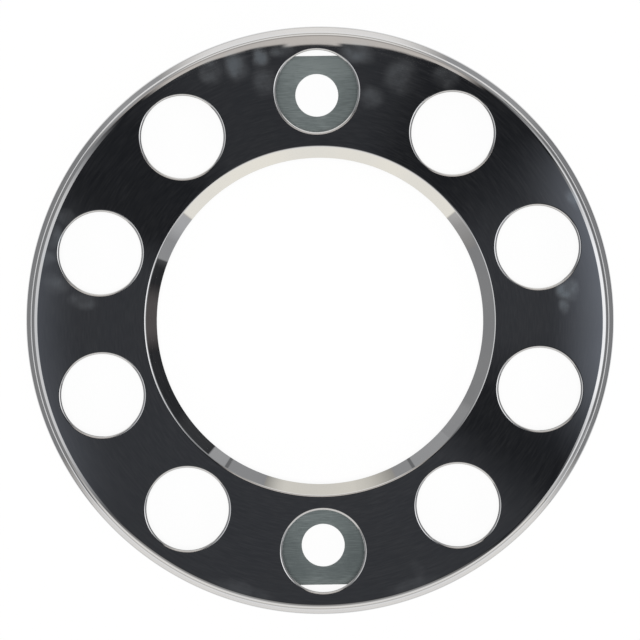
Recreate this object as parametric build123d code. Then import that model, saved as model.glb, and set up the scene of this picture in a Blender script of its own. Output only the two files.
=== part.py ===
from build123d import *

import os
from math import cos, radians, tan

# Wheel-nut cover for a ten-stud truck wheel: a pressed, polished ring and two brackets behind its face.
# It lies face up. Millimetres, +Z out of the polished face, origin at the centre of the rear rim's plane.

# Nut holes: where the wheel nuts come through the face
pitch_circle_diameter = 335.0
nut_hole_count = 10
nut_hole_diameter = 59.8

# Pressed sheet
sheet_thickness = 1.0
cover_height = 31.0
inner_land = 10.1
outer_land = 13.3

# Inner flange: the cone round the open centre
inner_flange_width = 8.3
inner_flange_slope = 35.0

# Outer wall and rear rim
wall_slope = 84.0
wall_bend_radius = 5.0
crease_height = 7.0
flare_width = 5.26
flare_slope = 25.0
rim_roll_radius = 2.0

# Lip drawn in round each nut hole
lip_depth = 1.4
lip_slope = 52.0
lip_land = 1.0

# Brackets: bent strips that the wheel nuts clamp against the wheel
bracket_thickness = 2.5
bracket_edge_gap = 0.65
stud_hole_diameter = 32.0
leg_clearance = 6.1
leg_lean = 8.0
foot_length = 18.0
foot_corner_radius = 6.0
bracket_bend_radius = 3.0

pitch_radius = pitch_circle_diameter / 2
nut_hole_radius = nut_hole_diameter / 2
back_height = cover_height - sheet_thickness

face_inner_radius = pitch_radius - nut_hole_radius - inner_land
face_outer_radius = pitch_radius + nut_hole_radius + outer_land
opening_radius = face_inner_radius - inner_flange_width
inner_flange_depth = inner_flange_width * tan(radians(inner_flange_slope))
crease_radius = face_outer_radius + (cover_height - crease_height) / tan(radians(wall_slope))
rim_radius = crease_radius + flare_width
roll_height = crease_height - flare_width * tan(radians(flare_slope))
lip_outer_radius = nut_hole_radius + lip_depth / tan(radians(lip_slope))

bracket_width = nut_hole_diameter - 2 * bracket_edge_gap
plate_half = nut_hole_radius + leg_clearance
leg_run = (back_height - bracket_thickness) * tan(radians(leg_lean))
foot_start = plate_half + leg_run
foot_end = foot_start + foot_length

on_base = (Align.CENTER, Align.CENTER, Align.MIN)


def sheet_section(corners, thickness):
    """Section in the XY plane of a folded sheet, thickening to the right of the line through its corners."""
    outline = offset(Polyline(*corners), thickness, kind=Kind.INTERSECTION, side=Side.RIGHT, closed=True)
    return make_face(outline.edges())


def round_off(section, corner, radius):
    """Rounds the corner of a section that lies at the given point."""
    return fillet(section.vertices().sort_by_distance(corner)[0], radius)


def bevel_off(section, corner, length):
    """Bevels the corner of a section that lies at the given point, by a length along both sides."""
    return chamfer(section.vertices().sort_by_distance(corner)[0], length)


def bend_flat(radius, turn):
    """Length to bevel off a corner for a flat that touches the middle of a bend of this radius and turn."""
    half = radians(turn / 2)
    return radius * tan(half / 2) / cos(half)


def turned(section):
    """Solid of a section whose X is a radius and whose Y is a height, turned about the vertical axis."""
    return revolve(Plane.XZ * section, Axis.Z)


def pressed_shell():
    """The ring before piercing: conical flange, face, drafted wall, flare and rolled rim."""
    face_corner = (face_outer_radius, cover_height)
    back_corner = (face_outer_radius - sheet_thickness * tan(radians(wall_slope / 2)), back_height)
    roll_corner = (rim_radius, roll_height)
    corners = [
        (opening_radius, cover_height - inner_flange_depth),
        (face_inner_radius, cover_height),
        face_corner,
        (crease_radius, crease_height),
        roll_corner,
        (rim_radius, 0),
    ]
    section = sheet_section(corners, sheet_thickness)
    section = bevel_off(section, back_corner, bend_flat(wall_bend_radius - sheet_thickness, wall_slope))
    section = round_off(section, face_corner, wall_bend_radius)
    section = bevel_off(section, roll_corner, bend_flat(rim_roll_radius, 90 - flare_slope))
    return turned(section)


def nut_hole_lip():
    """Lip of one nut hole about its own axis: a cone turned in from a narrow band of the face."""
    corners = [
        (nut_hole_radius, cover_height - lip_depth),
        (lip_outer_radius, cover_height),
        (lip_outer_radius + lip_land, cover_height),
    ]
    return turned(sheet_section(corners, sheet_thickness))


def cover_ring():
    """The pressed shell with its nut holes, each with a drawn lip."""
    places = PolarLocations(pitch_radius, nut_hole_count, start_angle=90)
    lip = nut_hole_lip()
    pierced = Cylinder(lip_outer_radius + lip_land, cover_height, align=on_base)
    holes = [place * pierced for place in places]
    lips = [place * lip for place in places]
    return pressed_shell() - holes + lips


def bracket():
    """Hat-shaped strip about its stud hole: a plate on the wheel, two legs, two feet under the face."""
    corners = [
        (-foot_end, back_height),
        (-foot_start, back_height),
        (-plate_half, bracket_thickness),
        (plate_half, bracket_thickness),
        (foot_start, back_height),
        (foot_end, back_height),
    ]
    outside_bend = bracket_bend_radius + bracket_thickness
    front_radii = [outside_bend, bracket_bend_radius, bracket_bend_radius, outside_bend]
    front = FilletPolyline(*corners, radius=front_radii)
    outline = offset(front, bracket_thickness, side=Side.RIGHT, closed=True)
    strip = extrude(Plane.XZ * make_face(outline.edges()), bracket_width / 2, both=True)
    end_faces = strip.faces().sort_by(Axis.X)[0], strip.faces().sort_by(Axis.X)[-1]
    corner_edges = [edge for face in end_faces for edge in face.edges().filter_by(Axis.Z)]
    strip = fillet(corner_edges, foot_corner_radius)
    stud_hole = Cylinder(stud_hole_diameter / 2, bracket_thickness, align=on_base)
    return strip - stud_hole


os.makedirs("parts", exist_ok=True)
export_step(cover_ring(), "parts/cover_ring.step")
along_rim = Rotation(0, 0, -90)
for name, place in zip(("upper_bracket", "lower_bracket"), PolarLocations(pitch_radius, 2, start_angle=90)):
    export_step(place * along_rim * bracket(), f"parts/{name}.step")
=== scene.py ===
"""Looks of a polished wheel-nut cover ring lying face up, with two plated brackets behind it."""

from collections import namedtuple
from math import atan2, ceil, cos, pi, radians, sin, sqrt, tan

import bmesh
import bpy
from mathutils import Matrix, Vector


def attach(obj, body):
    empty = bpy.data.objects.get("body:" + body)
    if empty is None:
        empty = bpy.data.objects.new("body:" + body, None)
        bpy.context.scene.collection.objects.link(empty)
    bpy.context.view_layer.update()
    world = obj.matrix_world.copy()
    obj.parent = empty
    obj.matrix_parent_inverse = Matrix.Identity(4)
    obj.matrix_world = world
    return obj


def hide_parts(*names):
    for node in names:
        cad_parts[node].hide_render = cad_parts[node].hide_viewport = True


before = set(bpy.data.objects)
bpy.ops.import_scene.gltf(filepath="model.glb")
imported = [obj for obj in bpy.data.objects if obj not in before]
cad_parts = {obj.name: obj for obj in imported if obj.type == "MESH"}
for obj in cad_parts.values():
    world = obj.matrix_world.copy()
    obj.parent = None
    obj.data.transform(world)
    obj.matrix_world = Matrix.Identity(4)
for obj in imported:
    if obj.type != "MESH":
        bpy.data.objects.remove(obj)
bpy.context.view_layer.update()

# Sizes of the ring, in metres and degrees
MM = 0.001
NUT_HOLES = 10
FIRST_HOLE_TURN = 90.0
PITCH_RADIUS = 167.5 * MM
NUT_HOLE_RADIUS = 29.9 * MM
SHEET = 1.0 * MM
COVER_HEIGHT = 31.0 * MM
INNER_LAND = 10.1 * MM
OUTER_LAND = 13.3 * MM
FLANGE_WIDTH, FLANGE_SLOPE, FLANGE_BEND = 8.3 * MM, 35.0, 2.5 * MM
WALL_SLOPE = 84.0
WALL_BEND, WALL_BEND_TURN, WALL_LOWER_BEND = 6.3 * MM, 42.0, 1.5 * MM
CREASE_HEIGHT, CREASE_BEND = 7.0 * MM, 0.7 * MM
FLARE_WIDTH, FLARE_SLOPE = 5.26 * MM, 25.0
ROLL_BEND = 2.0 * MM
LIP_DEPTH, LIP_SLOPE, LIP_BEND = 0.97 * MM, 41.0, 1.9 * MM
CUT_BREAK = 0.15 * MM

BACK_HEIGHT = COVER_HEIGHT - SHEET
FACE_INNER = PITCH_RADIUS - NUT_HOLE_RADIUS - INNER_LAND
FACE_OUTER = PITCH_RADIUS + NUT_HOLE_RADIUS + OUTER_LAND
FLANGE_DEPTH = FLANGE_WIDTH * tan(radians(FLANGE_SLOPE))
WALL_RUN = (COVER_HEIGHT - CREASE_HEIGHT) / tan(radians(WALL_SLOPE))
ROLL_HEIGHT = CREASE_HEIGHT - FLARE_WIDTH * tan(radians(FLARE_SLOPE))
LIP_WIDTH = LIP_DEPTH / tan(radians(LIP_SLOPE))

# Sizes of the brackets and their spot welds
BRACKET_SHEET = 2.5 * MM
BRACKET_EDGE_GAP = 0.65 * MM
STUD_HOLE_RADIUS = 16.0 * MM
LEG_CLEARANCE, LEG_LEAN = 6.1 * MM, 8.0
FOOT_LENGTH, FOOT_CORNER = 18.0 * MM, 6.0 * MM
BRACKET_BEND = 3.0 * MM
BRACKET_EDGE_BREAK = 0.25 * MM
WELD_RADIUS, WELD_RISE = 3.0 * MM, 0.3 * MM
WELD_FROM_END, WELD_SPACING = 7.0 * MM, 32.0 * MM

BRACKET_WIDTH = 2 * (NUT_HOLE_RADIUS - BRACKET_EDGE_GAP)
PLATE_HALF = NUT_HOLE_RADIUS + LEG_CLEARANCE
FOOT_START = PLATE_HALF + (BACK_HEIGHT - BRACKET_SHEET) * tan(radians(LEG_LEAN))
FOOT_END = FOOT_START + FOOT_LENGTH

# Mesh fineness
ARC_STEP = radians(7.5)
SUPPORT = 0.3 * MM
BEND_LEAD = 2 * SUPPORT
SECTOR_OUTER_STEPS, SECTOR_INNER_STEPS, SECTOR_SIDE_STEPS = 36, 20, 22
FACE_ROWS = 4
PLATE_STEPS_X, PLATE_STEPS_Y = 16, 16
PLATE_ROWS = 4
CORNER_STEPS = 8
EDGE_BREAK_STEPS, EDGE_BREAK_ANGLE = 2, radians(60.0)
WELD_SEGMENTS, WELD_RINGS = 20, 12
MERGE_DISTANCE = 0.01 * MM
SHARP_ANGLE = radians(35.0)


# Nodes and objects

def set_inputs(tree, node, inputs):
    """Sets a node's inputs, given as values or as sockets to link from."""
    for key, value in inputs.items():
        if isinstance(value, bpy.types.NodeSocket):
            tree.links.new(value, node.inputs[key])
        else:
            node.inputs[key].default_value = value


def add_node(tree, kind, inputs=None, **settings):
    """New node with its settings and its inputs."""
    made = tree.nodes.new(kind)
    for name, value in settings.items():
        setattr(made, name, value)
    set_inputs(tree, made, inputs or {})
    return made


def calc(tree, operation, *values):
    """Output of a math node on the given values or sockets."""
    inputs = dict(enumerate(values))
    return add_node(tree, "ShaderNodeMath", inputs, operation=operation).outputs[0]


def weighted_sum(tree, base, *parts):
    """A base value plus each part's value times its weight."""
    for value, weight in parts:
        base = calc(tree, "MULTIPLY_ADD", value, weight, base)
    return base


def vector_calc(tree, operation, *values, output="Vector"):
    """Output of a vector math node on the given vectors or sockets."""
    inputs = dict(enumerate(values))
    return add_node(tree, "ShaderNodeVectorMath", inputs, operation=operation).outputs[output]


def dot(tree, one, other):
    """Dot product of two vectors."""
    return vector_calc(tree, "DOT_PRODUCT", one, other, output="Value")


def scaled(tree, vector, factor):
    """A vector times a number."""
    inputs = {0: vector, "Scale": factor}
    return add_node(tree, "ShaderNodeVectorMath", inputs, operation="SCALE").outputs["Vector"]


def level_part(tree, vector):
    """A vector with its height left out."""
    return vector_calc(tree, "MULTIPLY", vector, (1.0, 1.0, 0.0))


def combine(tree, **axes):
    """Vector from its X, Y and Z."""
    return add_node(tree, "ShaderNodeCombineXYZ", axes).outputs[0]


def separate(tree, vector):
    """X, Y and Z of a vector."""
    return add_node(tree, "ShaderNodeSeparateXYZ", {0: vector}).outputs


def ramp(tree, value, low, high, to_low=0.0, to_high=1.0):
    """Value eased from to_low at low to to_high at high."""
    eased = add_node(tree, "ShaderNodeMapRange", {
        "Value": value, "From Min": low, "From Max": high, "To Min": to_low, "To Max": to_high,
    }, interpolation_type="SMOOTHSTEP")
    return eased.outputs["Result"]


def new_group(name, kind, inputs, outputs):
    """Empty node group with named sockets, and the sockets inside it to take from and to fill."""
    tree = bpy.data.node_groups.new(name, kind)
    for in_out, sockets in (("INPUT", inputs), ("OUTPUT", outputs)):
        for socket_name, socket_kind in sockets.items():
            tree.interface.new_socket(
                socket_name, in_out=in_out, socket_type="NodeSocket" + socket_kind)
    entry = tree.nodes.new("NodeGroupInput")
    exit_node = tree.nodes.new("NodeGroupOutput")
    return tree, entry.outputs, exit_node.inputs


def place_group(tree, group, inputs):
    """A node group placed in a tree, its outputs returned."""
    return add_node(tree, "ShaderNodeGroup", inputs, node_tree=group).outputs


def new_object(name, data):
    """Object with the given data, placed in the scene."""
    made = bpy.data.objects.new(name, data)
    bpy.context.scene.collection.objects.link(made)
    return made


def apply_modifiers(piece):
    """Makes what an object's modifiers give its plain mesh."""
    evaluated = piece.evaluated_get(bpy.context.evaluated_depsgraph_get())
    mesh = bpy.data.meshes.new_from_object(evaluated)
    piece.modifiers.clear()
    piece.data = mesh
    return piece


def made_by_nodes(name, mesh, tree, values):
    """Object whose mesh is what a geometry tree, with its named inputs set, makes of a mesh."""
    piece = new_object(name, mesh)
    modifier = piece.modifiers.new("nodes", "NODES")
    modifier.node_group = tree
    for socket in tree.interface.items_tree:
        if socket.in_out == "INPUT" and socket.name in values:
            modifier[socket.identifier] = values[socket.name]
    return apply_modifiers(piece)


def close_up(mesh):
    """Joins a closed mesh's coinciding points, turns its faces outwards, keeps hard edges sharp."""
    bm = bmesh.new()
    bm.from_mesh(mesh)
    bmesh.ops.remove_doubles(bm, verts=bm.verts, dist=MERGE_DISTANCE)
    bmesh.ops.recalc_face_normals(bm, faces=bm.faces)
    bm.to_mesh(mesh)
    bm.free()
    mesh.set_sharp_from_angle(angle=SHARP_ANGLE)


# Sections and grids

Sample = namedtuple("Sample", "point heading")


def unit(heading):
    """Unit vector along a heading."""
    return Vector((cos(heading), sin(heading)))


def side_normal(heading):
    """Unit vector to the left of a heading."""
    return Vector((-sin(heading), cos(heading)))


def rounded_line(corners, radii):
    """Samples along a line through corners whose inner ones are rounded.

    Support points stand beside each bend where the line runs straight for long enough.
    """
    corners = [Vector(c) for c in corners]
    headings = [atan2(b.y - a.y, b.x - a.x) for a, b in zip(corners, corners[1:])]
    turns = [end - start for start, end in zip(headings, headings[1:])]
    tangents = [0, *(radius * tan(abs(turn) / 2) for radius, turn in zip(radii, turns)), 0]
    straights = [(b - a).length - s - t
                 for a, b, s, t in zip(corners, corners[1:], tangents, tangents[1:])]
    samples = [Sample(corners[0], headings[0])]
    for k, (radius, turn) in enumerate(zip(radii, turns)):
        start, end = headings[k], headings[k + 1]
        side = 1 if turn > 0 else -1
        ahead, leaving = unit(start), unit(end)
        first = corners[k + 1] - ahead * tangents[k + 1]
        last = corners[k + 1] + leaving * tangents[k + 1]
        centre = first + side_normal(start) * radius * side
        if straights[k] > BEND_LEAD:
            samples.append(Sample(first - ahead * SUPPORT, start))
        steps = ceil(abs(turn) / ARC_STEP)
        for step in range(0 if straights[k] > SUPPORT else 1, steps + 1):
            heading = start + turn * step / steps
            samples.append(Sample(centre - side_normal(heading) * radius * side, heading))
        if straights[k + 1] > BEND_LEAD:
            samples.append(Sample(last + leaving * SUPPORT, end))
    samples.append(Sample(corners[-1], headings[-1]))
    return samples


def sheet_edge(corners, radii):
    """Points along the front of a bent sheet, over its cut edge and back along its rear.

    With them comes a mark for each strip between two points: True on the cut edge and the rear.
    """
    *run, end = rounded_line(corners, radii)
    along = unit(end.heading) * CUT_BREAK
    inward = side_normal(end.heading) * -1
    front = [s.point for s in run] + [end.point - along]
    rear = [
        end.point + inward * CUT_BREAK,
        end.point + inward * (SHEET - CUT_BREAK),
        end.point + inward * SHEET - along,
    ]
    rear += [s.point - side_normal(s.heading) * SHEET for s in reversed(run)]
    return front + rear, [False] * (len(front) - 1) + [True] * len(rear)


def spread(low, high, steps):
    """Evenly spaced values from low to high."""
    return [low + (high - low) * k / steps for k in range(steps + 1)]


def rows_between(inner, outer, height, steps):
    """Rows of points from an inner line to an outer one, at one height."""
    return [[(*i.lerp(o, k / steps), height) for i, o in zip(inner, outer)]
            for k in range(steps + 1)]


def turned_rows(points, base_radius, side, turns, centre):
    """Rows of points turned about an upright axis on X, outwards (side 1) or inwards (side -1)."""
    rows = []
    for point in points:
        radius, height = base_radius + side * point.x, COVER_HEIGHT + point.y
        rows.append([(centre + radius * cos(a), radius * sin(a), height) for a in turns])
    return rows


def add_grid(bm, rows, rear_marks=None, closed=False):
    """Quads between neighbouring rows of points, each strip marked as front or rear if asked."""
    rear_layer = bm.faces.layers.bool.get("rear")
    made = [[bm.verts.new(p) for p in row] for row in rows]
    for k, (low, high) in enumerate(zip(made, made[1:])):
        ties = list(zip(low, high))
        if closed:
            ties.append(ties[0])
        for (a, b), (d, c) in zip(ties, ties[1:]):
            face = bm.faces.new((a, b, c, d))
            if rear_marks:
                face[rear_layer] = rear_marks[k]


# Ring

def cone_edge(width, depth, slope, bend):
    """Edge of the sheet bent down as a cone, and how far from its start the bend's corner lies."""
    corner = bend * tan(radians(slope) / 2) + BEND_LEAD
    return sheet_edge([(0, 0), (corner, 0), (corner + width, -depth)], [bend]), corner


def rim_edge():
    """Outer corner, wall, flare and rolled rim, and how far out the wall's corner lies."""
    fall, turn = radians(WALL_SLOPE), radians(WALL_BEND_TURN)
    upper_half = WALL_BEND * tan(turn / 2)
    link = upper_half + WALL_LOWER_BEND * tan((fall - turn) / 2)
    bend = upper_half + BEND_LEAD
    wall = bend + link * sin(fall - turn) / sin(fall)
    crease = wall + WALL_RUN
    corners = [
        (0, 0),
        (bend, 0),
        (bend + link * cos(turn), -link * sin(turn)),
        (crease, CREASE_HEIGHT - COVER_HEIGHT),
        (crease + FLARE_WIDTH, ROLL_HEIGHT - COVER_HEIGHT),
        (crease + FLARE_WIDTH, -COVER_HEIGHT),
    ]
    return sheet_edge(corners, [WALL_BEND, WALL_LOWER_BEND, CREASE_BEND, ROLL_BEND]), wall


def ring_sector():
    """One tenth of the ring with its nut hole on +X: face, lip, flange and rim, front and rear."""
    lip, lip_start = cone_edge(LIP_WIDTH, LIP_DEPTH, LIP_SLOPE, LIP_BEND)
    flange, flange_start = cone_edge(FLANGE_WIDTH, FLANGE_DEPTH, FLANGE_SLOPE, FLANGE_BEND)
    rim, wall_start = rim_edge()
    hole_radius = NUT_HOLE_RADIUS + LIP_WIDTH + lip_start
    inner_radius = FACE_INNER + flange_start
    outer_radius = FACE_OUTER - wall_start

    half = pi / NUT_HOLES
    outer_turns = spread(-half, half, SECTOR_OUTER_STEPS)
    inner_turns = spread(half, -half, SECTOR_INNER_STEPS)
    inward = spread(outer_radius, inner_radius, SECTOR_SIDE_STEPS)
    border = [(outer_radius, a) for a in outer_turns[:-1]] + [(r, half) for r in inward[:-1]]
    border += [(inner_radius, a) for a in inner_turns[:-1]] + [(r, -half) for r in inward[:0:-1]]
    border = [Vector((r * cos(a), r * sin(a))) for r, a in border]
    hole_turns = [atan2(p.y, p.x - PITCH_RADIUS) for p in border]
    hole = [Vector((PITCH_RADIUS + hole_radius * cos(a), hole_radius * sin(a))) for a in hole_turns]

    bm = bmesh.new()
    bm.faces.layers.bool.new("rear")
    for height, is_rear in ((COVER_HEIGHT, False), (BACK_HEIGHT, True)):
        rows = rows_between(hole, border, height, FACE_ROWS)
        add_grid(bm, rows, [is_rear] * FACE_ROWS, closed=True)
    for (points, rear_marks), radius, side, turns, centre, closed in (
            (lip, hole_radius, -1, hole_turns, PITCH_RADIUS, True),
            (flange, inner_radius, -1, inner_turns, 0.0, False),
            (rim, outer_radius, 1, outer_turns, 0.0, False)):
        add_grid(bm, turned_rows(points, radius, side, turns, centre), rear_marks, closed)
    mesh = bpy.data.meshes.new("ring_sector")
    bm.to_mesh(mesh)
    bm.free()
    return mesh


def repeat_tree():
    """Geometry nodes that turn copies of a sector about Z, join them and set their two finishes."""
    tree, given, result = new_group(
        "repeat_sector", "GeometryNodeTree",
        {"Geometry": "Geometry", "Count": "Int", "First Turn": "Float", "Merge Distance": "Float",
         "Front Finish": "Material", "Rear Finish": "Material"},
        {"Geometry": "Geometry"})
    points = add_node(tree, "GeometryNodePoints", {"Count": given["Count"]})
    index = add_node(tree, "GeometryNodeInputIndex").outputs[0]
    step = calc(tree, "DIVIDE", 2 * pi, given["Count"])
    turn = calc(tree, "MULTIPLY_ADD", index, step, given["First Turn"])
    copies = add_node(tree, "GeometryNodeInstanceOnPoints", {
        "Points": points.outputs[0], "Instance": given["Geometry"],
        "Rotation": combine(tree, Z=turn)})
    joined = add_node(tree, "GeometryNodeRealizeInstances", {"Geometry": copies.outputs[0]})
    merged = add_node(tree, "GeometryNodeMergeByDistance", {
        "Geometry": joined.outputs[0], "Distance": given["Merge Distance"]})
    smooth = add_node(tree, "GeometryNodeSetShadeSmooth", {"Geometry": merged.outputs[0]})
    front = add_node(tree, "GeometryNodeSetMaterial", {
        "Geometry": smooth.outputs[0], "Material": given["Front Finish"]})
    is_rear = add_node(
        tree, "GeometryNodeInputNamedAttribute", {"Name": "rear"}, data_type="BOOLEAN")
    rear = add_node(tree, "GeometryNodeSetMaterial", {
        "Geometry": front.outputs[0], "Selection": is_rear.outputs["Attribute"],
        "Material": given["Rear Finish"]})
    tree.links.new(rear.outputs[0], result["Geometry"])
    return tree


def cover_ring(front, rear):
    """The pressed ring: its sectors joined."""
    made = made_by_nodes("polished_ring", ring_sector(), repeat_tree(), {
        "Count": NUT_HOLES, "First Turn": radians(FIRST_HOLE_TURN),
        "Merge Distance": MERGE_DISTANCE, "Front Finish": front, "Rear Finish": rear})
    close_up(made.data)
    return made


# Brackets

def half_width(from_end):
    """Half the strip's width at a distance from its end, where its corners are rounded."""
    short = min(max(FOOT_CORNER - from_end, 0), FOOT_CORNER)
    return BRACKET_WIDTH / 2 - FOOT_CORNER + sqrt(FOOT_CORNER ** 2 - short ** 2)


def bracket_arm():
    """Points from beside the stud hole along the plate, up the leg and out to the foot's end."""
    corners = [
        (PLATE_HALF - BRACKET_BEND - BEND_LEAD, BRACKET_SHEET),
        (PLATE_HALF, BRACKET_SHEET),
        (FOOT_START, BACK_HEIGHT),
        (FOOT_END, BACK_HEIGHT),
    ]
    run = rounded_line(corners, [BRACKET_BEND, BRACKET_BEND + BRACKET_SHEET])[:-1]
    turns = spread(0, pi / 2, CORNER_STEPS)
    rounding = [Vector((FOOT_END - FOOT_CORNER * (1 - sin(a)), BACK_HEIGHT)) for a in turns]
    return [s.point for s in run] + rounding


def bracket_front(name, centre_y):
    """Mesh of the front of one bent strip with its stud hole, about the nut hole at centre_y."""
    arm = bracket_arm()
    edge, width = arm[0].x, BRACKET_WIDTH / 2
    across = spread(-1, 1, PLATE_STEPS_Y)
    along = spread(-edge, edge, PLATE_STEPS_X)
    border = [Vector((edge, width * share)) for share in across[:-1]]
    border += [Vector((x, width)) for x in along[:0:-1]]
    border += [Vector((-edge, width * share)) for share in across[:0:-1]]
    border += [Vector((x, -width)) for x in along[:-1]]
    hole = [p.normalized() * STUD_HOLE_RADIUS for p in border]

    bm = bmesh.new()
    for side in (1, -1):
        add_grid(bm, [[(side * p.x, half_width(FOOT_END - p.x) * share, p.y) for share in across]
                      for p in arm])
    add_grid(bm, rows_between(hole, border, BRACKET_SHEET, PLATE_ROWS), closed=True)
    bmesh.ops.remove_doubles(bm, verts=bm.verts, dist=MERGE_DISTANCE)
    bmesh.ops.recalc_face_normals(bm, faces=bm.faces)
    for face in bm.faces:
        face.smooth = True
    if sum(face.normal.z * face.calc_area() for face in bm.faces) < 0:
        bmesh.ops.reverse_faces(bm, faces=bm.faces)
    bm.transform(Matrix.Translation((0, centre_y, 0)))
    mesh = bpy.data.meshes.new(name)
    bm.to_mesh(mesh)
    bm.free()
    return mesh


def bracket(name, centre_y, finish):
    """One bent strip: its front given its thickness downwards and its edges broken."""
    piece = new_object(name, bracket_front(name, centre_y))
    thick = piece.modifiers.new("thickness", "SOLIDIFY")
    thick.thickness, thick.offset, thick.use_even_offset = BRACKET_SHEET, -1.0, True
    broken = piece.modifiers.new("edge break", "BEVEL")
    broken.width, broken.segments = BRACKET_EDGE_BREAK, EDGE_BREAK_STEPS
    broken.limit_method, broken.angle_limit = "ANGLE", EDGE_BREAK_ANGLE
    apply_modifiers(piece)
    piece.data.materials.append(finish)
    close_up(piece.data)
    return piece


def weld_tree():
    """Geometry nodes that set a low round weld mark on each point of a mesh."""
    tree, given, result = new_group(
        "weld_marks", "GeometryNodeTree",
        {"Geometry": "Geometry", "Radius": "Float", "Rise": "Float", "Finish": "Material"},
        {"Geometry": "Geometry"})
    dome = add_node(tree, "GeometryNodeMeshUVSphere", {
        "Segments": WELD_SEGMENTS, "Rings": WELD_RINGS, "Radius": given["Radius"]})
    flat = calc(tree, "DIVIDE", given["Rise"], given["Radius"])
    marks = add_node(tree, "GeometryNodeInstanceOnPoints", {
        "Points": given["Geometry"], "Instance": dome.outputs[0],
        "Scale": combine(tree, X=1.0, Y=1.0, Z=flat)})
    joined = add_node(tree, "GeometryNodeRealizeInstances", {"Geometry": marks.outputs[0]})
    smooth = add_node(tree, "GeometryNodeSetShadeSmooth", {"Geometry": joined.outputs[0]})
    finished = add_node(tree, "GeometryNodeSetMaterial", {
        "Geometry": smooth.outputs[0], "Material": given["Finish"]})
    tree.links.new(finished.outputs[0], result["Geometry"])
    return tree


def weld_marks(finish):
    """Spot welds on the rear of the brackets' feet."""
    along, beside = FOOT_END - WELD_FROM_END, WELD_SPACING / 2
    places = [(x * along, y * PITCH_RADIUS + side * beside, BACK_HEIGHT - BRACKET_SHEET)
              for x in (-1, 1) for y in (-1, 1) for side in (-1, 1)]
    mesh = bpy.data.meshes.new("weld_places")
    mesh.from_pydata(places, [], [])
    return made_by_nodes("weld_marks", mesh, weld_tree(), {
        "Radius": WELD_RADIUS, "Rise": WELD_RISE, "Finish": finish})


# Finishes

# Sockets of the colour mix node
MIX_SHARE, MIX_LOW, MIX_HIGH, MIX_RESULT = 0, 6, 7, 2

# Polished front of the sheet
POLISH_LINES = {"Lines per Metre": 1500.0, "Streak": 14.0, "Low": 0.35, "High": 0.75}
POLISH_PATCHES = {"Patches per Metre": 22.0, "Low": 0.35, "High": 0.7}
POLISHED_DARK, POLISHED_LIGHT = (0.67, 0.675, 0.69, 1.0), (0.70, 0.70, 0.705, 1.0)
POLISHED_ROUGHNESS, POLISH_LINE_ROUGHNESS = 0.006, 0.012
POLISH_LINE_VEIL = 0.012
WAVES = {"Scale": 14.0, "Detail": 1.0}
WAVE_BUMP, WAVE_HEIGHT = 1.0, 0.05 * MM

# Finger smudges: heading in degrees, the rest in millimetres
Smudge = namedtuple("Smudge", "heading radius half_length half_width strength")
SMUDGES = [
    Smudge(112.8, 199.0, 10.0, 8.5, 0.55),
    Smudge(107.4, 195.0, 10.5, 9.3, 0.75),
    Smudge(101.9, 197.5, 7.5, 6.3, 0.8),
    Smudge(97.4, 198.0, 5.0, 9.0, 0.5),
    Smudge(102.5, 180.0, 11.0, 9.5, 0.36),
    Smudge(81.3, 197.5, 8.5, 12.0, 0.75),
    Smudge(76.6, 167.1, 8.0, 10.0, 0.45),
    Smudge(71.0, 188.0, 13.0, 11.0, 0.42),
    Smudge(62.2, 199.0, 8.0, 10.0, 0.5),
    Smudge(157.2, 200.2, 6.5, 5.5, 0.5),
    Smudge(161.4, 202.6, 3.8, 8.7, 0.5),
    Smudge(166.1, 203.2, 5.0, 6.0, 0.42),
    Smudge(171.2, 194.8, 9.5, 7.0, 0.4),
    Smudge(174.4, 173.8, 10.0, 5.5, 0.52),
    Smudge(-107.0, 203.5, 5.0, 24.0, 0.2),
    Smudge(-71.5, 203.5, 5.0, 18.0, 0.22),
    Smudge(-69.5, 195.0, 9.0, 4.5, 0.13),
    Smudge(6.3, 181.3, 7.0, 8.5, 1.15),
    Smudge(2.2, 178.2, 3.8, 5.2, 1.0),
    Smudge(25.2, 204.2, 4.2, 8.0, 0.9),
]
SMUDGE_COLOUR = (0.61, 0.685, 0.75, 1.0)
SMUDGE_VEIL, SMUDGE_GAIN = 0.12, 1.1
SMUDGE_FADE_END, SMUDGE_FADE_START = 1.35, 0.35
WOBBLE, WOBBLE_REACH = {"Scale": 60.0, "Detail": 3.0}, 9 * MM
SMEARS = {"Patches per Metre": 90.0, "Low": 0.3, "High": 0.68}
SMEAR_LEAST, SMEAR_DEPTH = 0.35, 0.65

# Bright-rolled rear of the sheet
ROLLED_LINES = {"Lines per Metre": 2200.0, "Streak": 30.0, "Low": 0.35, "High": 0.7}
ROLLED_CLOUDS = {"Patches per Metre": 30.0, "Low": 0.3, "High": 0.7}
ROLLED_DARK, ROLLED_LIGHT = (0.50, 0.50, 0.51, 1.0), (0.58, 0.58, 0.58, 1.0)
ROLLED_ROUGHNESS, ROLLED_CLOUD_ROUGHNESS, ROLLED_LINE_ROUGHNESS = 0.28, 0.06, 0.12
ROLLED_BUMP, ROLLED_LINE_HEIGHT = 0.3, 0.01 * MM

# Zinc-plated brackets
ZINC_LINES = {"Lines per Metre": 2600.0, "Streak": 110.0, "Low": 0.28, "High": 0.74}
ZINC_CLOUDS = {"Patches per Metre": 60.0, "Low": 0.3, "High": 0.7}
ZINC_DARK, ZINC_LIGHT = (0.150, 0.178, 0.180, 1.0), (0.265, 0.303, 0.302, 1.0)
ZINC_ROUGHNESS, ZINC_CLOUD_ROUGHNESS, ZINC_LINE_ROUGHNESS = 0.45, 0.08, 0.1
ZINC_CLOUD_SHADE, ZINC_LINE_SHADE = 0.3, 1.0
ZINC_METALLIC = 0.35
ZINC_BUMP, ZINC_LINE_HEIGHT = 0.4, 0.02 * MM

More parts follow.
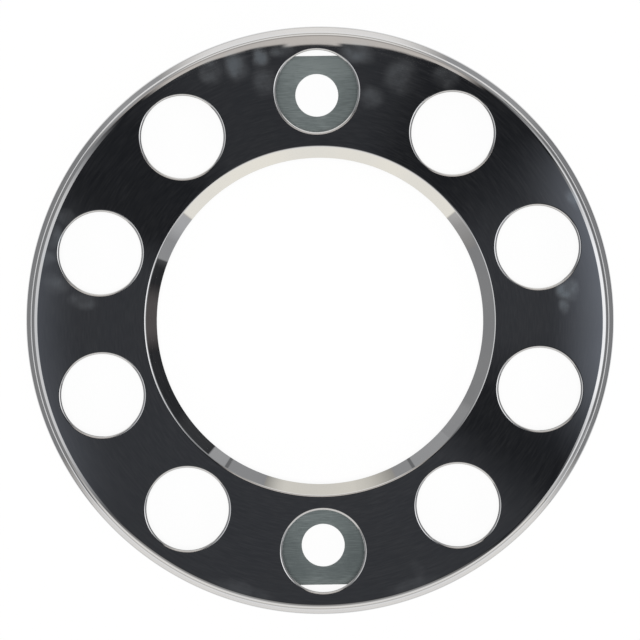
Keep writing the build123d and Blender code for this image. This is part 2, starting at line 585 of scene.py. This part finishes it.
# Painted light and shade on the plating, eased from one distance to another towards +Y (side 1) or
# -Y (-1), in metres: each strip painted lighter towards its outer edge, the lower strip painted
# darker from its stud hole outwards
PaintedLight = namedtuple("PaintedLight", "side start end low high")
ZINC_PAINTED_LIGHT = [
    PaintedLight(1.0, 0.168, 0.192, 0.0, 0.6),
    PaintedLight(-1.0, 0.186, 0.2, 0.0, 0.95),
    PaintedLight(-1.0, 0.148, 0.174, -0.25, -0.62),
]


def line_grain_group():
    """Fine lines left by polishing or drawing: Vector's X runs across them, Y and Z along them."""
    tree, given, result = new_group(
        "line_grain", "ShaderNodeTree",
        {"Vector": "Vector", "Lines per Metre": "Float", "Streak": "Float", "Low": "Float",
         "High": "Float"},
        {"Lines": "Float"})
    scale = combine(tree, X=given["Lines per Metre"], Y=given["Streak"], Z=given["Streak"])
    stretched = vector_calc(tree, "MULTIPLY", given["Vector"], scale)
    noise = add_node(tree, "ShaderNodeTexNoise", {
        "Vector": stretched, "Scale": 1.0, "Detail": 3.0, "Roughness": 0.6})
    lines = ramp(tree, noise.outputs["Fac"], given["Low"], given["High"])
    tree.links.new(lines, result["Lines"])
    return tree


def clouding_group():
    """Soft cloudy unevenness of a metal surface."""
    tree, given, result = new_group(
        "clouding", "ShaderNodeTree",
        {"Vector": "Vector", "Patches per Metre": "Float", "Low": "Float", "High": "Float"},
        {"Clouds": "Float"})
    noise = add_node(tree, "ShaderNodeTexNoise", {
        "Vector": given["Vector"], "Scale": given["Patches per Metre"], "Detail": 4.0})
    clouds = ramp(tree, noise.outputs["Fac"], given["Low"], given["High"])
    tree.links.new(clouds, result["Clouds"])
    return tree


def new_finish(name):
    """Material with a Principled shader, its tree, that shader and the place on the object."""
    material = bpy.data.materials.new(name)
    material.use_nodes = True
    tree = material.node_tree
    place = add_node(tree, "ShaderNodeTexCoord").outputs["Object"]
    return material, tree, tree.nodes["Principled BSDF"], place


def blend_colours(tree, share, low, high):
    """Colour between two, by a share."""
    inputs = {MIX_SHARE: share, MIX_LOW: low, MIX_HIGH: high}
    return add_node(tree, "ShaderNodeMix", inputs, data_type="RGBA").outputs[MIX_RESULT]


def bumped(tree, height, strength, distance):
    """Normal of a surface with a bump on it."""
    inputs = {"Height": height, "Strength": strength, "Distance": distance}
    return add_node(tree, "ShaderNodeBump", inputs).outputs[0]


def finger_smudges(tree, place, level, clouding):
    """Where greasy finger marks lie on the face, and how strong they are."""
    wobble = add_node(tree, "ShaderNodeTexNoise", {"Vector": place, **WOBBLE}).outputs["Color"]
    reach, middle = (WOBBLE_REACH,) * 3, (-WOBBLE_REACH / 2,) * 3
    wobble = vector_calc(tree, "MULTIPLY_ADD", wobble, reach, middle)
    fingered = vector_calc(tree, "ADD", level, wobble)
    smudged = None
    for spot in SMUDGES:
        turn = radians(spot.heading)
        outwards = Vector((cos(turn), sin(turn), 0.0)) / (spot.half_length * MM)
        sideways = Vector((-sin(turn), cos(turn), 0.0)) / (spot.half_width * MM)
        centre = spot.radius / spot.half_length
        along = calc(tree, "SUBTRACT", dot(tree, fingered, outwards), centre)
        beside = dot(tree, fingered, sideways)
        squared = calc(tree, "MULTIPLY_ADD", along, along, calc(tree, "MULTIPLY", beside, beside))
        away = calc(tree, "SQRT", squared)
        strength = SMUDGE_GAIN * spot.strength
        mark = ramp(tree, away, SMUDGE_FADE_END, SMUDGE_FADE_START, 0.0, strength)
        smudged = calc(tree, "MAXIMUM", smudged, mark) if smudged else mark
    smears = place_group(tree, clouding, {"Vector": place, **SMEARS})["Clouds"]
    return calc(tree, "MULTIPLY", smudged, weighted_sum(tree, SMEAR_LEAST, (smears, SMEAR_DEPTH)))


def polished_steel(grain, clouding):
    """Mirror-polished sheet with faint rings of polish lines, slight waves and finger smudges."""
    material, tree, shader, place = new_finish("polished_steel")
    level = level_part(tree, place)
    radius = vector_calc(tree, "LENGTH", level, output="Value")
    around = separate(tree, vector_calc(tree, "NORMALIZE", level))
    rings = combine(tree, X=radius, Y=around["X"], Z=around["Y"])
    lines = place_group(tree, grain, {"Vector": rings, **POLISH_LINES})["Lines"]
    patches = place_group(tree, clouding, {"Vector": place, **POLISH_PATCHES})["Clouds"]
    smudged = finger_smudges(tree, place, level, clouding)
    veil = weighted_sum(tree, 0.0, (lines, POLISH_LINE_VEIL), (smudged, SMUDGE_VEIL))
    bare = blend_colours(tree, patches, POLISHED_DARK, POLISHED_LIGHT)
    waves = add_node(tree, "ShaderNodeTexNoise", {"Vector": place, **WAVES}).outputs["Fac"]
    set_inputs(tree, shader, {
        "Base Color": blend_colours(tree, smudged, bare, SMUDGE_COLOUR),
        "Metallic": calc(tree, "SUBTRACT", 1.0, veil),
        "Roughness": weighted_sum(tree, POLISHED_ROUGHNESS, (lines, POLISH_LINE_ROUGHNESS)),
        "Normal": bumped(tree, waves, WAVE_BUMP, WAVE_HEIGHT)})
    return material


def rolled_steel(grain, clouding):
    """Rear and cut edges of the sheet: bright-rolled, not polished."""
    material, tree, shader, place = new_finish("rolled_steel")
    lines = place_group(tree, grain, {"Vector": place, **ROLLED_LINES})["Lines"]
    clouds = place_group(tree, clouding, {"Vector": place, **ROLLED_CLOUDS})["Clouds"]
    rough = weighted_sum(tree, ROLLED_ROUGHNESS, (clouds, ROLLED_CLOUD_ROUGHNESS),
                         (lines, ROLLED_LINE_ROUGHNESS))
    set_inputs(tree, shader, {
        "Base Color": blend_colours(tree, clouds, ROLLED_DARK, ROLLED_LIGHT),
        "Metallic": 1.0,
        "Roughness": rough,
        "Normal": bumped(tree, lines, ROLLED_BUMP, ROLLED_LINE_HEIGHT)})
    return material


def zinc_plate(grain, clouding):
    """Dull blue-grey zinc plating over drawn strip, its grain along the strip, with painted light
    towards each strip's outer edge and painted shade over the lower strip from its stud hole
    outwards.
    """
    material, tree, shader, place = new_finish("zinc_plate")
    apart = separate(tree, place)
    strip = combine(tree, X=apart["Y"], Y=apart["X"], Z=apart["Z"])
    lines = place_group(tree, grain, {"Vector": strip, **ZINC_LINES})["Lines"]
    clouds = place_group(tree, clouding, {"Vector": place, **ZINC_CLOUDS})["Clouds"]
    tone_and_painted_light = 0.0
    # Painted light and shade added to the plating's tone: lighter towards each strip's outer edge,
    # darker over the lower strip from its stud hole outwards
    for step in ZINC_PAINTED_LIGHT:
        away = calc(tree, "MULTIPLY", apart["Y"], step.side)
        painted_light = ramp(tree, away, step.start, step.end, step.low, step.high)
        tone_and_painted_light = calc(tree, "ADD", tone_and_painted_light, painted_light)
    tone_and_painted_light = weighted_sum(tree, tone_and_painted_light, (clouds, ZINC_CLOUD_SHADE), (lines, ZINC_LINE_SHADE))
    rough = weighted_sum(tree, ZINC_ROUGHNESS, (clouds, ZINC_CLOUD_ROUGHNESS),
                         (lines, ZINC_LINE_ROUGHNESS))
    set_inputs(tree, shader, {
        "Base Color": blend_colours(tree, tone_and_painted_light, ZINC_DARK, ZINC_LIGHT),
        "Metallic": ZINC_METALLIC,
        "Roughness": rough,
        "Normal": bumped(tree, lines, ZINC_BUMP, ZINC_LINE_HEIGHT)})
    return material


# Studio

SENSOR_WIDTH = 36.0
FRAME_WIDTH_AT_FACE = 465.9 * MM
CAMERA_ABOVE_FACE = 1285.5 * MM
FRAME_CENTRE_Y = 0.77 * MM
CAMERA_OFF_CENTRE = 26.0 * MM
CAMERA_ROLL = radians(-0.82)
FLOOR_HALF, FLOOR_DROP = 10.0, 0.2 * MM
FLOOR_GLOW = 0.9
FLOOR_COLOUR, GLOW_COLOUR = (0.95, 0.95, 0.95, 1.0), (1.0, 1.0, 1.0, 1.0)
LAMP_HEIGHT, LAMP_SIZE, LAMP_POWER = 1.45, 0.3, 12.5

# Soft panels round the ring, in degrees: heading, half width and blur about the upright axis, then
# near, far and edge from overhead. Seen from above, the flange mirrors what stands 62 to 68 degrees
# from overhead, the flare about 40 to 62, the lips 68 to 95 and the outer corner all of it.
Panel = namedtuple("Panel", "heading half_width blur near far edge level tint")
NEUTRAL, WARM, IVORY = (1.0, 1.0, 1.0), (1.0, 0.975, 0.94), (1.0, 0.962, 0.865)
CREAM, RUDDY = (1.0, 0.93, 0.86), (1.0, 0.88, 0.84)
SKY, COOL = (0.80, 0.87, 1.0), (0.87, 0.91, 1.0)
PANELS = [
    # Towards the lower edge of the frame
    Panel(-90.5, 51.5, 0.8, 62.0, 68.0, 0.5, 1.07, IVORY),
    Panel(-90.5, 51.5, 6.0, 68.0, 77.0, 0.5, 0.52, WARM),
    Panel(-90.5, 51.5, 6.0, 77.0, 95.0, 0.5, 0.78, WARM),
    Panel(-90.5, 58.0, 14.0, 37.0, 62.0, 8.0, 0.95, WARM),
    Panel(-98.0, 38.0, 12.0, 13.0, 50.0, 12.0, 0.37, WARM),
    Panel(-98.0, 38.0, 12.0, 28.0, 50.0, 12.0, 0.72, WARM),
    # Towards the upper edge
    Panel(89.2, 36.0, 0.5, 62.0, 68.0, 0.5, 0.17, NEUTRAL),
    Panel(89.2, 32.3, 0.5, 62.0, 95.0, 0.5, 0.33, NEUTRAL),
    Panel(89.0, 18.0, 7.0, 62.0, 68.0, 0.5, 0.83, IVORY),
    Panel(98.0, 16.0, 14.0, 62.0, 68.0, 0.5, 0.8, IVORY),
    Panel(90.0, 52.0, 8.0, 68.0, 77.0, 1.0, 0.46, WARM),
    Panel(90.0, 52.0, 8.0, 77.0, 95.0, 1.0, 1.02, WARM),
    Panel(93.0, 28.0, 12.0, 47.0, 62.0, 2.0, 1.0, WARM),
    Panel(90.0, 55.0, 14.0, 47.0, 62.0, 2.0, 0.38, NEUTRAL),
    Panel(95.0, 41.0, 10.0, 31.0, 49.0, 2.0, 0.46, CREAM),
    Panel(91.0, 34.0, 4.0, 0.0, 31.0, 2.0, 0.67, CREAM),
    # Towards the left edge and its corners
    Panel(170.2, 47.9, 0.4, 62.0, 68.0, 0.5, 0.275, NEUTRAL),
    Panel(221.0, 20.0, 18.0, 62.0, 68.0, 0.5, 0.43, WARM),
    Panel(129.8, 7.5, 0.4, 62.0, 68.0, 0.5, 0.38, NEUTRAL),
    Panel(141.0, 12.0, 6.0, 62.0, 68.0, 0.5, 0.335, NEUTRAL),
    Panel(170.75, 47.0, 9.0, 68.0, 80.0, 0.5, 0.2, NEUTRAL),
    Panel(170.75, 47.0, 9.0, 80.0, 95.0, 1.0, 0.42, NEUTRAL),
    Panel(170.75, 52.0, 9.0, 40.0, 62.0, 1.0, 0.26, NEUTRAL),
    Panel(180.0, 34.0, 14.0, 0.0, 40.0, 2.0, 0.8, NEUTRAL),
    # Towards the right edge and its corners
    Panel(-30.75, 8.75, 0.5, 62.0, 68.0, 0.5, 0.35, NEUTRAL),
    Panel(-39.0, 12.0, 9.5, 62.0, 68.0, 0.5, 0.52, NEUTRAL),
    Panel(-30.0, 9.0, 0.5, 68.0, 95.0, 0.5, 0.47, NEUTRAL),
    Panel(52.65, 3.35, 0.4, 62.0, 95.0, 0.5, 0.41, NEUTRAL),
    Panel(42.0, 9.0, 5.0, 62.0, 68.0, 0.5, 0.03, NEUTRAL),
    Panel(6.0, 40.0, 6.0, 62.0, 68.0, 0.5, 0.012, NEUTRAL),
    Panel(8.0, 50.0, 9.0, 40.0, 62.0, 1.0, 0.26, NEUTRAL),
    Panel(8.0, 50.0, 9.0, 67.0, 80.0, 1.0, 0.24, NEUTRAL),
    Panel(8.0, 50.0, 9.0, 80.0, 95.0, 1.0, 0.36, NEUTRAL),
    Panel(-2.0, 9.0, 5.0, 62.0, 95.0, 0.5, 0.09, RUDDY),
    Panel(0.0, 24.0, 12.0, 0.0, 44.0, 2.0, 1.25, NEUTRAL),
    Panel(0.0, 40.0, 14.0, 24.0, 44.0, 2.0, 1.0, NEUTRAL),
]

# The dark round patch overhead, which the face mirrors, and the faint glows in it
OVERHEAD_REACH, OVERHEAD_EDGE, OVERHEAD_LEAN = 10.89, 0.03, 1.95
OVERHEAD_GLOWS = [
    Panel(91.0, 5.5, 1.0, 8.83, 95.0, 0.06, 0.65, CREAM),
    Panel(5.0, 24.0, 14.0, 7.3, 95.0, 3.6, 0.34, SKY),
    Panel(9.0, 24.0, 12.0, 0.0, 95.0, 1.0, 0.031, COOL),
    Panel(187.0, 26.0, 12.0, 7.6, 95.0, 4.0, 0.18, SKY),
    Panel(-122.0, 80.0, 8.0, 0.0, 95.0, 1.0, 0.031, COOL),
    Panel(98.0, 28.0, 10.0, 0.0, 95.0, 1.0, 0.02, COOL),
]
ROOM_LIGHT = (0.0155, 0.0165, 0.019)


def panel_group():
    """Light of one studio panel, by the angle from overhead and the heading of a direction."""
    tree, given, result = new_group(
        "studio_panel", "ShaderNodeTree",
        {"From Overhead": "Float", "Level Direction": "Vector", "Heading": "Vector",
         "Half Width": "Float", "Blur": "Float", "Near": "Float", "Far": "Float", "Edge": "Float",
         "Light": "Vector"},
        {"Light": "Vector"})
    from_overhead, half, blur = (given[name] for name in ("From Overhead", "Half Width", "Blur"))
    near, far, edge = (given[name] for name in ("Near", "Far", "Edge"))
    aside = calc(tree, "ARCCOSINE", dot(tree, given["Level Direction"], given["Heading"]))
    inner, outer = calc(tree, "SUBTRACT", half, blur), calc(tree, "ADD", half, blur)
    across = ramp(tree, aside, inner, outer, 1.0, 0.0)
    above = ramp(tree, from_overhead, near, calc(tree, "ADD", near, edge))
    below = ramp(tree, from_overhead, far, calc(tree, "ADD", far, edge), 1.0, 0.0)
    share = calc(tree, "MULTIPLY", across, calc(tree, "MULTIPLY", above, below))
    tree.links.new(scaled(tree, given["Light"], share), result["Light"])
    return tree


def panels_light(tree, group, panels, joined, from_overhead, level):
    """Light of some panels, joined by their brightest or by their sum."""
    light = None
    for panel in panels:
        turn = radians(panel.heading)
        lit = place_group(tree, group, {
            "From Overhead": from_overhead, "Level Direction": level,
            "Heading": (cos(turn), sin(turn), 0.0),
            "Half Width": radians(panel.half_width), "Blur": radians(panel.blur),
            "Near": radians(panel.near), "Far": radians(panel.far), "Edge": radians(panel.edge),
            "Light": tuple(panel.level * t for t in panel.tint)})["Light"]
        light = vector_calc(tree, joined, light, lit) if light else lit
    return light


def studio():
    """Dim room with soft panels on four sides and a dark round patch overhead.

    All of it stands square to the camera, whose place off the middle it makes good.
    """
    world = bpy.data.worlds.new("studio")
    bpy.context.scene.world = world
    world.use_nodes = True
    tree = world.node_tree
    direction = add_node(tree, "ShaderNodeTexCoord").outputs["Generated"]
    camera_lean = (0.0, CAMERA_OFF_CENTRE / CAMERA_ABOVE_FACE, 0.0)
    direction = vector_calc(tree, "NORMALIZE", vector_calc(tree, "ADD", direction, camera_lean))
    from_overhead = calc(tree, "ARCCOSINE", separate(tree, direction)["Z"])
    level = vector_calc(tree, "NORMALIZE", level_part(tree, direction))
    group = panel_group()
    around = panels_light(tree, group, PANELS, "MAXIMUM", from_overhead, level)
    overhead = panels_light(tree, group, OVERHEAD_GLOWS, "ADD", from_overhead, level)
    lean = radians(OVERHEAD_LEAN)
    from_patch = calc(tree, "ARCCOSINE", dot(tree, direction, (0.0, -sin(lean), cos(lean))))
    reach, edge = radians(OVERHEAD_REACH), radians(OVERHEAD_EDGE)
    clear = ramp(tree, from_patch, reach - edge, reach + edge)
    covered = calc(tree, "SUBTRACT", 1.0, clear)
    light = vector_calc(tree, "ADD", scaled(tree, around, clear), scaled(tree, overhead, covered))
    light = vector_calc(tree, "ADD", light, ROOM_LIGHT)
    tree.links.new(light, tree.nodes["Background"].inputs["Color"])


def floor():
    """White floor that keeps a faint shadow."""
    mesh = bpy.data.meshes.new("floor")
    corners = [(x * FLOOR_HALF, y * FLOOR_HALF, -FLOOR_DROP)
               for x, y in ((-1, -1), (1, -1), (1, 1), (-1, 1))]
    mesh.from_pydata(corners, [], [(0, 1, 2, 3)])
    material = bpy.data.materials.new("white_floor")
    material.use_nodes = True
    tree = material.node_tree
    tree.nodes.remove(tree.nodes["Principled BSDF"])
    matt = add_node(tree, "ShaderNodeBsdfDiffuse", {"Color": FLOOR_COLOUR})
    glow = add_node(tree, "ShaderNodeEmission", {"Color": GLOW_COLOUR, "Strength": 1.0})
    path = add_node(tree, "ShaderNodeLightPath").outputs
    seen = calc(tree, "MAXIMUM", path["Is Camera Ray"], path["Is Glossy Ray"])
    seen = calc(tree, "MAXIMUM", seen, path["Is Transmission Ray"])
    share = calc(tree, "MULTIPLY", seen, FLOOR_GLOW)
    mixed = add_node(tree, "ShaderNodeMixShader", {
        0: share, 1: matt.outputs[0], 2: glow.outputs[0]})
    tree.links.new(mixed.outputs[0], tree.nodes["Material Output"].inputs["Surface"])
    mesh.materials.append(material)
    piece = new_object("floor", mesh)


def overhead_lamp():
    """Broad soft lamp that fills the shadows and is not mirrored in the metal."""
    data = bpy.data.lights.new("overhead_lamp", "AREA")
    data.shape, data.size, data.energy = "DISK", LAMP_SIZE, LAMP_POWER
    lamp = new_object("overhead_lamp", data)
    lamp.location = (0, 0, LAMP_HEIGHT)
    lamp.visible_glossy = False


def camera():
    """Camera straight above the face, a little off the middle, with the photograph's framing."""
    data = bpy.data.cameras.new("camera")
    data.sensor_width = SENSOR_WIDTH
    data.lens = SENSOR_WIDTH * CAMERA_ABOVE_FACE / FRAME_WIDTH_AT_FACE
    data.shift_y = -CAMERA_OFF_CENTRE / FRAME_WIDTH_AT_FACE
    view = new_object("camera", data)
    upwards = Vector((-sin(CAMERA_ROLL), cos(CAMERA_ROLL), 0))
    middle = Vector((0, FRAME_CENTRE_Y, COVER_HEIGHT + CAMERA_ABOVE_FACE))
    view.location = middle + upwards * CAMERA_OFF_CENTRE
    view.rotation_euler = (0, 0, CAMERA_ROLL)
    bpy.context.scene.camera = view


# Pieces and their finishes

line_grain, clouding = line_grain_group(), clouding_group()
polished = polished_steel(line_grain, clouding)
rolled = rolled_steel(line_grain, clouding)
zinc = zinc_plate(line_grain, clouding)

ring = cover_ring(polished, rolled)
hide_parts("cover_ring")
brackets = {
    "upper_bracket": bracket("upper_strip", PITCH_RADIUS, zinc),
    "lower_bracket": bracket("lower_strip", -PITCH_RADIUS, zinc),
}
for node_name, strip in brackets.items():
    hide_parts(node_name)
welds = weld_marks(zinc)
for piece in (ring, *brackets.values(), welds):
    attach(piece, "root")

studio()
floor()
overhead_lamp()
camera()
bpy.context.scene.view_settings.view_transform = "Standard"
